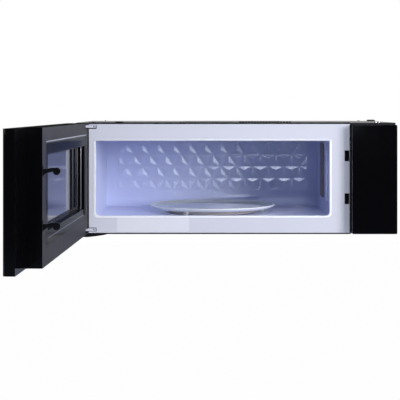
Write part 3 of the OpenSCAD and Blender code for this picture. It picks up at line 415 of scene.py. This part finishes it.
# Front hem: the black edges of the case and of the base pan, folded over the white plate's top
# and bottom edges. They show as two thin dark lines.
def block(bm, size, centre):
    """Adds a box of the given size round a centre."""
    made = bmesh.ops.create_cube(bm, size=1.0)["verts"]
    bmesh.ops.scale(bm, verts=made, vec=size)
    bmesh.ops.translate(bm, verts=made, vec=centre)
    return made


hem_bm = bmesh.new()
for low, high in ((-0.1325, -0.1297), (0.1280, 0.1321)):
    block(hem_bm, (0.6190, 0.0014, high - low), (-0.0380, plate_y + 0.0002, (low + high) / 2))
soften(hem_bm, hem_bm.edges, 0.0003, 2)
finish_piece(hem_bm, "front_hem", black_powder, "case")


# Louvre lips: the row of small tabs that the press leaves standing behind the air slots in the
# case's top. The right group stands higher than the left one.
case_top = 0.1310
lip_count, lip_pitch, lip_y = 18, 0.0070, -0.3702
lip_bm = bmesh.new()
for start, height in ((-0.1305, 0.0012), (0.0115, 0.0024)):
    for place in range(lip_count):
        middle = (start + lip_pitch * place, lip_y, case_top + height / 2)
        block(lip_bm, (0.0052, 0.0008, height), middle)
soften(lip_bm, lip_bm.edges, 0.0002, 2)
lip_black = coated("lip_black", (0.004, 0.004, 0.006), 0.6, specular=0.01)
finish_piece(lip_bm, "louvre_lips", lip_black, "case")


# Hinge slots: dark strips on the plate round the root of each hinge leaf. They are partly the slot
# the leaf comes out of and partly a painted shadow under each leaf and at its end.
slot_and_shadow_bm = bmesh.new()
# Each strip reaches below its leaf and past its end: that part is painted shadow.
for low, high in ((0.1165, 0.1257), (-0.1262, -0.1172)):
    block(slot_and_shadow_bm, (0.0197, 0.0006, high - low), (-0.33925, plate_y + 0.0001, (low + high) / 2))
finish_piece(slot_and_shadow_bm, "leaf_slots_and_shadows", black_powder, "case")


# Rating label: a thin pale foil under the mouth. Its print is left off, so that only the bare
# foil shows, a shade lighter than the plate.
label_rect = (-0.2810, -0.1275, -0.1105, -0.0935)
label_radius, foil_thickness = 0.0030, 0.0002
foil = coated(
    "blank_foil", (0.690, 0.700, 0.755), 0.36, mottle=0.002, peel=90.0, peel_depth=0.000006,
    coat=0.2,
)
label_bm = bmesh.new()
ring_of(label_bm, [
    (*label_rect, label_radius, plate_y),
    (*label_rect, label_radius, plate_y - foil_thickness),
], closed=False)
bmesh.ops.holes_fill(label_bm, edges=label_bm.edges)
bmesh.ops.recalc_face_normals(label_bm, faces=label_bm.faces)
finish_piece(label_bm, "blank_label", foil, "case")


# Cavity liner and floor: the ceiling and side walls are one enamelled steel wrap, spot-welded by
# its flanges to a flat floor sheet. Enamel pools in the corners as a thin round bead.
def rod(bm, radius, length, axis, centre, segments=16):
    """Adds an upright cylinder, turns it a quarter about an axis and brings it to its centre."""
    made = bmesh.ops.create_cone(
        bm, cap_ends=True, segments=segments, radius1=radius, radius2=radius, depth=length,
    )["verts"]
    turn(bm, made, 90, axis)
    bmesh.ops.translate(bm, verts=made, vec=centre)


enamel_blue = coated(
    "enamel_blue", (0.68, 0.72, 0.95), 0.36, mottle=0.008, peel=320.0, peel_depth=0.000005,
    coat=0.15,
)
dress(enamel_blue, "cavity_liner", "cavity_floor")
bead_radius, bead_z = 0.0013, -0.095
cavity_left, cavity_right = -0.335, 0.225
cavity_middle = (cavity_left + cavity_right) / 2
bead_bm = bmesh.new()
for x in (cavity_left, cavity_right):
    rod(bead_bm, bead_radius, 0.354, "X", (x, -0.2212, bead_z))
rod(bead_bm, bead_radius, 0.557, "Y", (cavity_middle, -0.0432, bead_z))
finish_piece(bead_bm, "enamel_beads", enamel_blue, "case")


# Cavity back: an enamelled sheet pressed into a net of low three-sided pyramids, twelve along
# and four high, which scatters the waves. Its ridges are soft from the press.
def facet_height(x, z, left, right, lines, pitch):
    """Height of the pressed net at a point: the least of a cell's three edge shares, softened."""
    row = sum(1 for line in lines[1:-1] if z < line)
    deep = (lines[row] - z) / (lines[row] - lines[row + 1])
    along = (x - left) / pitch - (0.5 if row % 2 == 0 else 0.0)
    apart = along - math.floor(along)
    if apart < 0.5 * deep:
        shares = (1 - deep, apart + 0.5 * deep, 0.5 * deep - apart)
    elif apart > 1 - 0.5 * deep:
        shares = (1 - deep, apart - 1 + 0.5 * deep, 0.5 * deep + 1 - apart)
    else:
        shares = (deep, apart - 0.5 * deep, 1 - 0.5 * deep - apart)
    softness, crown, margin = 0.012, 0.015, 0.0015
    least = -softness * math.log(sum(math.exp(-s / softness) for s in shares))
    rounded = math.sqrt(max(least, 0.0) ** 2 + crown ** 2) - crown
    edge = min(x - left, right - x, lines[0] - z, z - lines[-1])
    return 3.0 * rounded * min(1.0, max(0.0, edge / margin))


net_lines = (0.0734, 0.0418, 0.0109, -0.0207, -0.0524)
net_left, net_right = -0.3034, 0.1996
net_pitch, net_depth = 0.0419, 0.00115
wall_y = -0.0428
enamel_net = coated(
    "enamel_net", (0.61, 0.665, 0.94), 0.42, mottle=0.008, peel=320.0, peel_depth=0.000003,
    coat=1.0, specular=0.12,
)
net_tree = enamel_net.node_tree
preset(net_tree.nodes["Principled BSDF"], {"Coat Roughness": 0.10, "Coat IOR": 1.9})
facing = add(net_tree, "ShaderNodeNewGeometry")
levelled = add(net_tree, "ShaderNodeMix")
levelled.data_type = "VECTOR"
preset(levelled, {"Factor": 0.72, "B": (0, -1, 0)})
wire(net_tree, facing.outputs["Normal"], levelled.inputs["A"])
wire(net_tree, levelled.outputs["Result"], net_tree.nodes["Bump"].inputs["Normal"])
back_bm = bmesh.new()
grid = bmesh.ops.create_grid(back_bm, x_segments=456, y_segments=114, size=0.5)["verts"]
for v in grid:
    x = net_left + (v.co.x + 0.5) * (net_right - net_left)
    z = net_lines[-1] + (v.co.y + 0.5) * (net_lines[0] - net_lines[-1])
    raised = net_depth * facet_height(x, z, net_left, net_right, net_lines, net_pitch)
    v.co = Vector((x, wall_y - 0.0001 - raised, z))
bmesh.ops.recalc_face_normals(back_bm, faces=back_bm.faces)
if sum(f.normal.y for f in back_bm.faces) > 0:
    bmesh.ops.reverse_faces(back_bm, faces=back_bm.faces)
block(back_bm, (0.562, 0.001, 0.188), (cavity_middle, wall_y + 0.0005, -0.002))
finish_piece(
    back_bm, "embossed_wall", enamel_net, "case", ("cavity_back",), smooth=50.0,
)


# Right wall's rib: a stiffening rib pressed into the wall in front of the mica cover. Its face
# looks forward and shows as a thin upright light strip.
rib_bm = bmesh.new()
block(rib_bm, (0.0050, 0.0180, 0.1190), (0.2228, -0.3172, 0.0))
soften(rib_bm, rib_bm.edges, 0.0012, 3)
finish_piece(rib_bm, "wall_rib", enamel_blue, "case")


# Mica cover: a thin plate of pressed mica flakes clipped over the waveguide's mouth, matt and
# brownish, some flakes paler than others.
mica, mica_tree, mica_bsdf = shader("pressed_mica")
flakes = pattern(mica_tree, "ShaderNodeTexVoronoi", {"Scale": 260}).outputs["Color"]
tint(mica_tree, mica_bsdf, flakes, (0.20, 0.15, 0.13), (0.36, 0.29, 0.27), 0.1, 0.9)
dull(mica_tree, mica_bsdf, flakes, 0.35, 0.65)
mica_rect = (-0.2368, -0.0590, -0.1508, 0.0770)
mica_bm = bmesh.new()
ring_of(mica_bm, [
    (*mica_rect, 0.004, 0.0012),
    (*mica_rect, 0.004, 0.0019),
    (*grown(mica_rect, -0.0004), 0.004, 0.0022),
], closed=False)
bmesh.ops.holes_fill(mica_bm, edges=mica_bm.edges)
turn(mica_bm, mica_bm.verts, 90, "Z")
bmesh.ops.translate(mica_bm, verts=mica_bm.verts, vec=(cavity_right, 0, 0))
bmesh.ops.recalc_face_normals(mica_bm, faces=mica_bm.faces)
finish_piece(mica_bm, "mica_plate", mica, "case", ("waveguide_cover",))


# Glass tray: a pressed clear dish, thicker at its rim, with three lugs under it that drop over
# the coupler's arms.
def glass(name, colour, roughness, transmission=1.0):
    """Soda glass, faintly streaked, with a haze of fine scratches."""
    made, tree, bsdf = shader(name)
    preset(bsdf, {"Transmission Weight": transmission, "IOR": 1.5})
    tint(tree, bsdf, noise(tree, 11.0), shaded(colour, 0.97), colour)
    dull(tree, bsdf, noise(tree, 40.0), roughness * 0.6, roughness * 1.6)
    dent(tree, bsdf, noise(tree, 90.0, 1.0), 0.00003)
    return made


def lathe(bm, outline, centre, steps):
    """Spins an outline of radius and height pairs about an upright axis."""
    points = [bm.verts.new((r, 0, z)) for r, z in outline]
    edges = [bm.edges.new(pair) for pair in zip(points, points[1:])]
    bmesh.ops.spin(
        bm, geom=points + edges, cent=(0, 0, 0), axis=(0, 0, 1), dvec=(0, 0, 0),
        angle=math.radians(360), steps=steps, use_merge=True,
    )
    bmesh.ops.remove_doubles(bm, verts=bm.verts, dist=0.00001)
    bmesh.ops.translate(bm, verts=bm.verts, vec=centre)
    bmesh.ops.recalc_face_normals(bm, faces=bm.faces)


tray_glass = glass("tray_glass", (0.90, 0.97, 0.96), 0.04, transmission=0.85)
# The rim's outer and lower faces are nearly opaque and whiter than the dish: painted light, for
# the glow that the thick clear rim catches.
rim_painted_glow = glass("rim_painted_glow", (0.98, 1.0, 1.0), 0.12, transmission=0.05)
tray_at = Vector((-0.055, -0.224, -0.0844))
tray_outline = [
    (0.0, 0.0), (0.1395, 0.0), (0.1425, 0.0001), (0.1453, 0.0006), (0.1492, 0.0024),
    (0.1530, 0.0043), (0.1556, 0.0062), (0.1570, 0.0076), (0.1575, 0.0088), (0.1573, 0.0096),
    (0.1565, 0.0100), (0.1550, 0.0098), (0.1525, 0.0089), (0.1480, 0.0064), (0.1445, 0.0045),
    (0.1425, 0.0040), (0.1400, 0.0040), (0.0, 0.0040),
]
tray_bm = bmesh.new()
lathe(tray_bm, tray_outline, tray_at, 128)
for lug_turn in (30, 150, 270):
    lug = block(tray_bm, (0.0095, 0.0138, 0.0019), (0.01725, 0, -0.00055))
    turn(tray_bm, lug, lug_turn, "Z")
    bmesh.ops.translate(tray_bm, verts=lug, vec=tray_at)
glass_tray = finish_piece(
    tray_bm, "glass_tray", tray_glass, "tray", ("turntable_tray",), smooth=50.0,
)
rim_from = 0.1440
repaint(
    glass_tray, rim_painted_glow,
    lambda face: (face.center - tray_at).xy.length > rim_from and face.normal.z < 0.4,
)


# White mouldings: coupler, rollers, lamp holders, fan and bushes. They are satin plastic with the
# fine bite of the mould; the roller ring is a brown heat-proof kind.
def moulded(name, colour, roughness, bite=700.0, bite_depth=0.00004, specular=0.5, coat=0.0):
    """Plastic or rubber: an almost even colour over the bite of the mould."""
    made, tree, bsdf = shader(name)
    preset(bsdf, {"Specular IOR Level": specular, "Coat Weight": coat, "Coat Roughness": 0.04})
    tint(tree, bsdf, noise(tree, 15.0), shaded(colour, 0.93), shaded(colour, 1.05))
    dull(tree, bsdf, noise(tree, 60.0), roughness * 0.85, roughness * 1.15)
    dent(tree, bsdf, noise(tree, bite, 2.0), bite_depth)
    return made


dress(
    moulded("white_moulding", (0.80, 0.80, 0.78), 0.45),
    "cooling_fan", "drive_coupler", "cavity_lamp", "cooktop_lamps", "hinge_bushes",
    "roller_1", "roller_2", "roller_3",
)
dress(moulded("brown_moulding", (0.46, 0.39, 0.38), 0.45), "roller_ring")


# Dark mouldings inside the case: diode, blower wheel, fan frame, the switches with their bracket
# and plungers, cut-out and the charcoal filter, all matt black.
dress(
    moulded("dark_moulding", (0.012, 0.012, 0.014), 0.5, specular=0.3),
    "diode", "blower_rotor", "fan_frame", "interlock_switches", "interlock_bracket",
    "thermal_cutout", "charcoal_filter", "plunger_upper", "plunger_lower",
)


# Heavy pieces of the machine bay: the magnetron's fins and magnets, the varnished transformer
# and the blower's painted motor.
dress(zinc("fin_sheet", (0.66, 0.67, 0.69), 0.32), "magnetron")
varnish = coated(
    "varnished_core", (0.13, 0.12, 0.12), 0.35, mottle=0.25, peel=300.0, peel_depth=0.0001,
)
dress(varnish, "transformer")
dress(coated("motor_paint", (0.16, 0.165, 0.18), 0.4), "blower_motor")


# Circuit boards: green lacquer over copper tracks, which run in straight lines between the
# soldered parts.
board, board_tree, board_bsdf = shader("circuit_board")
tracks = pattern(board_tree, "ShaderNodeTexBrick", {
    "Scale": 120, "Mortar Size": 0.03, "Color1": (0.020, 0.110, 0.050, 1),
    "Color2": (0.028, 0.140, 0.062, 1), "Mortar": (0.060, 0.230, 0.110, 1),
})
wire(board_tree, tracks.outputs["Color"], board_bsdf.inputs["Base Color"])
dull(board_tree, board_bsdf, noise(board_tree, 50.0), 0.25, 0.4)
dress(board, "control_board", "noise_filter_board", "touch_board")


# Lamp lenses: frosted glass panes that rest in the base pan over the cooktop. The frost spreads
# the light of the lamps behind them.
dress(glass("lens_glass", (0.93, 0.94, 0.97), 0.35), "lamp_lenses")


# Grease filters: aluminium mesh in a folded frame, slid sideways into the base pan's rims. Each
# comes out once its edge is free.
filter_metal = zinc("filter_metal", (0.62, 0.63, 0.65), 0.3)
dress(filter_metal, "grease_filter_left", "grease_filter_right")


# Hinges: steel leaves painted like the front plate, screwed to it, with plated pins that turn in
# the door's bushes. The case's screws and the latch's spring are plated as well.
eased("hinge_upper", "upper_hinge_leaf", 0.0003, enamel_white, "case")
eased("hinge_lower", "lower_hinge_leaf", 0.0003, enamel_white, "case")
plated = zinc("plated_steel", (0.60, 0.61, 0.63), 0.25)
dress(plated, "hinge_pins", "case_screws", "latch_spring")


# Black trim: the wedge under the lower hinge, the clip on the top edge and the rubber gland of
# the power lead.
black_trim = moulded("black_trim", (0.004, 0.004, 0.005), 0.3, specular=0.3)
eased("lower_hinge_cover", "hinge_wedge", 0.001, black_trim, "case")
eased("top_clip", "edge_clip", 0.0006, black_trim, "case")
dress(moulded("gland_rubber", (0.02, 0.02, 0.02), 0.7), "cord_gland")


# Control box: a deep glossy black moulding that covers the boards at the right, matt on top. Its
# front is level with the inner door's back when that is closed, and hangs a little lower than the
# case behind it.
gloss_black = moulded(
    "gloss_black", (0.0016, 0.0016, 0.0022), 0.09, bite=60.0, bite_depth=0.000004, specular=0.25,
)
matt_black = moulded("matt_black", (0.004, 0.004, 0.005), 0.6, specular=0.001)
control_box = eased(
    "control_box_cover", "control_box", 0.0012, gloss_black, "case", segments=3,
)
box_drop = 0.0028
for corner in control_box.data.vertices:
    if corner.co.z < -0.12 and corner.co.y < -0.39:
        corner.co.z -= box_drop
repaint(control_box, matt_black, lambda face: face.normal.z > 0.3)
dress(black_powder, "bay_front")
dress(gloss_black, "door_screws")


# Inner door: a folded steel pan in gloss black, round at its hinge end, with notches for the
# leaves and windows for the hooks. Its inner face is a satin dark grey, its top edge matt.
door_grey = coated(
    "door_grey", (0.022, 0.021, 0.028), 0.50, mottle=0.02, peel=500.0, peel_depth=0.000004,
    specular=0.22, uneven=0.03,
)
inner_pan = eased("door_inner_frame", "inner_pan", 0.0004, gloss_black, "door")
repaint(inner_pan, door_grey, lambda face: face.normal.x > 0.5)
repaint(inner_pan, matt_black, lambda face: face.normal.z > 0.5 and face.normal.x <= 0.5)


# Choke cover: a dark moulding clipped round the window, which steps back twice to the glass. It is
# drawn on the closed door and swung open; its chamfers are painted lighter than the moulding, most
# at its hinge end, as painted highlights.
hinge_pin = Vector((-0.363, -0.419, 0))
door_turn = -92


def stand_open(bm):
    turn(bm, bm.verts, door_turn, "Z", about=hinge_pin)


door_y = -0.405
rim = (-0.3351, -0.1020, 0.2251, 0.1011)
face_opening = (-0.3115, -0.0800, 0.2015, 0.0775)
step_opening = (-0.3115, -0.0730, 0.2015, 0.0775)
opening = (-0.3115, -0.0655, 0.2015, 0.0775)
cover_gloss = moulded(
    "cover_gloss", (0.0015, 0.0015, 0.0028), 0.16, bite=40.0, bite_depth=0.000004, specular=0.006,
)
cover_bm = bmesh.new()
ring_of(cover_bm, [
    (*rim, 0.0045, door_y - 0.0019),
    (*rim, 0.0045, door_y - 0.0010),
    (*grown(rim, -0.0008), 0.0042, door_y - 0.0004),
    (*grown(rim, -0.0031), 0.0040, door_y - 0.0002),
    (*grown(face_opening, 0.0030), 0.0040, door_y - 0.0003),
    (*grown(face_opening, 0.0012), 0.0036, door_y - 0.0007),
    (*grown(face_opening, 0.0004), 0.0034, door_y - 0.0018),
    (*step_opening, 0.0034, door_y - 0.0076),
    (*grown(step_opening, -0.0009), 0.0032, door_y - 0.0095),
    (*grown(opening, -0.0022), 0.0030, door_y - 0.0097),
    (*grown(opening, -0.0024), 0.0030, door_y - 0.0155),
    (*grown(opening, -0.0030), 0.0030, door_y - 0.0170),
    (*grown(opening, -0.0016), 0.0030, door_y - 0.0173),
    (*grown(opening, 0.0020), 0.0030, door_y - 0.0100),
    (*grown(opening, 0.0020), 0.0030, door_y - 0.0019),
])
stand_open(cover_bm)
choke = finish_piece(
    cover_bm, "choke_moulding", cover_gloss, "door", ("choke_cover",), smooth=18.0,
)
# Painted highlights: lighter colours on the slanted faces, chosen by where they lie.
for name, colour, from_x, to_x in (
    ("chamfer_painted_highlight", (0.10, 0.10, 0.12), -0.364, -0.355),
    ("edge_painted_highlight", (0.016, 0.016, 0.020), -1.0, -0.364),
):
    highlight_paint = moulded(name, colour, 0.20, bite=40.0, bite_depth=0.000003, specular=1.0)
    repaint(
        choke, highlight_paint,
        lambda face: 0.2 < face.normal.x < 0.95 and from_x < face.center.x < to_x,
    )


# Window bead: a thin strip with a black seal above it, pressed over the joint between the choke
# cover's upper edge and the pan. The strip is painted light grey, a painted highlight for the
# light that its glossy black bead catches.
bead_painted_highlight = moulded(
    "bead_painted_highlight", (0.34, 0.34, 0.39), 0.20, bite=40.0, bite_depth=0.000003,
)
strip_bm = bmesh.new()
for middle, height in ((0.1029, 0.0024), (0.1049, 0.0016)):
    block(strip_bm, (0.5600, 0.0010, height), (cavity_middle, door_y, middle))
soften(strip_bm, strip_bm.edges, 0.0002, 2)
stand_open(strip_bm)
highlight_strip = finish_piece(strip_bm, "highlight_strip", bead_painted_highlight, "door")
seal_from = 0.1041
repaint(highlight_strip, cover_gloss, lambda face: face.center.z > seal_from)


# Window: clear glass bonded behind the choke cover, with a black perforated sheet of steel right
# behind it, so that at a low angle the pane mirrors almost like a mirror.
pane, pane_tree, pane_bsdf = shader("window_pane")
preset(pane_bsdf, {"Specular IOR Level": 0.22})
tint(pane_tree, pane_bsdf, noise(pane_tree, 9.0), (0.010, 0.012, 0.02), (0.014, 0.016, 0.026))
dull(pane_tree, pane_bsdf, noise(pane_tree, 30.0), 0.03, 0.06)
dress(pane, "inner_glass")
screen, screen_tree, screen_bsdf = shader("perforated_screen")
holes = pattern(screen_tree, "ShaderNodeTexVoronoi", {"Scale": 420, "Randomness": 0})
tint(
    screen_tree, screen_bsdf, holes.outputs["Distance"],
    (0.0015, 0.0015, 0.002), (0.030, 0.030, 0.034), 0.28, 0.34,
)
dull(screen_tree, screen_bsdf, noise(screen_tree, 50.0), 0.35, 0.5)
dress(screen, "window_screen")


# Door slab: a black moulded tray across the oven's whole width, with the front glass bonded to
# it. It reaches past the inner door and covers the control box.
slab_tray = eased("door_slab_frame", "slab_tray", 0.0006, gloss_black, "door")
repaint(slab_tray, matt_black, lambda face: face.normal.z > 0.5)
front_gloss = moulded(
    "front_gloss", (0.003, 0.003, 0.004), 0.05, bite=20.0, bite_depth=0.000003, specular=0.4,
    coat=0.3,
)
eased("door_front_glass", "front_pane", 0.001, front_gloss, "door", segments=3)


# Latch hooks: black nylon hooks with round heads on one sliding bar, which a coil spring pulls
# down. They stick out of the inner door's edge.
hook_nylon = moulded("hook_nylon", (0.003, 0.003, 0.004), 0.3, specular=0.25)
eased(
    "latch_hooks", "hook_bar", 0.0016, hook_nylon, "latch",
    segments=3, smooth=50.0,
)
head_bm = bmesh.new()
for head_z in (0.0489, -0.0532):
    rod(head_bm, 0.0068, 0.0062, "X", (-0.3455, -1.0443, head_z), segments=32)
caps = [e for e in head_bm.edges if e.calc_face_angle(0) > math.radians(60)]
soften(head_bm, caps, 0.0016, 3)
finish_piece(head_bm, "hook_heads", hook_nylon, "latch", smooth=50.0)
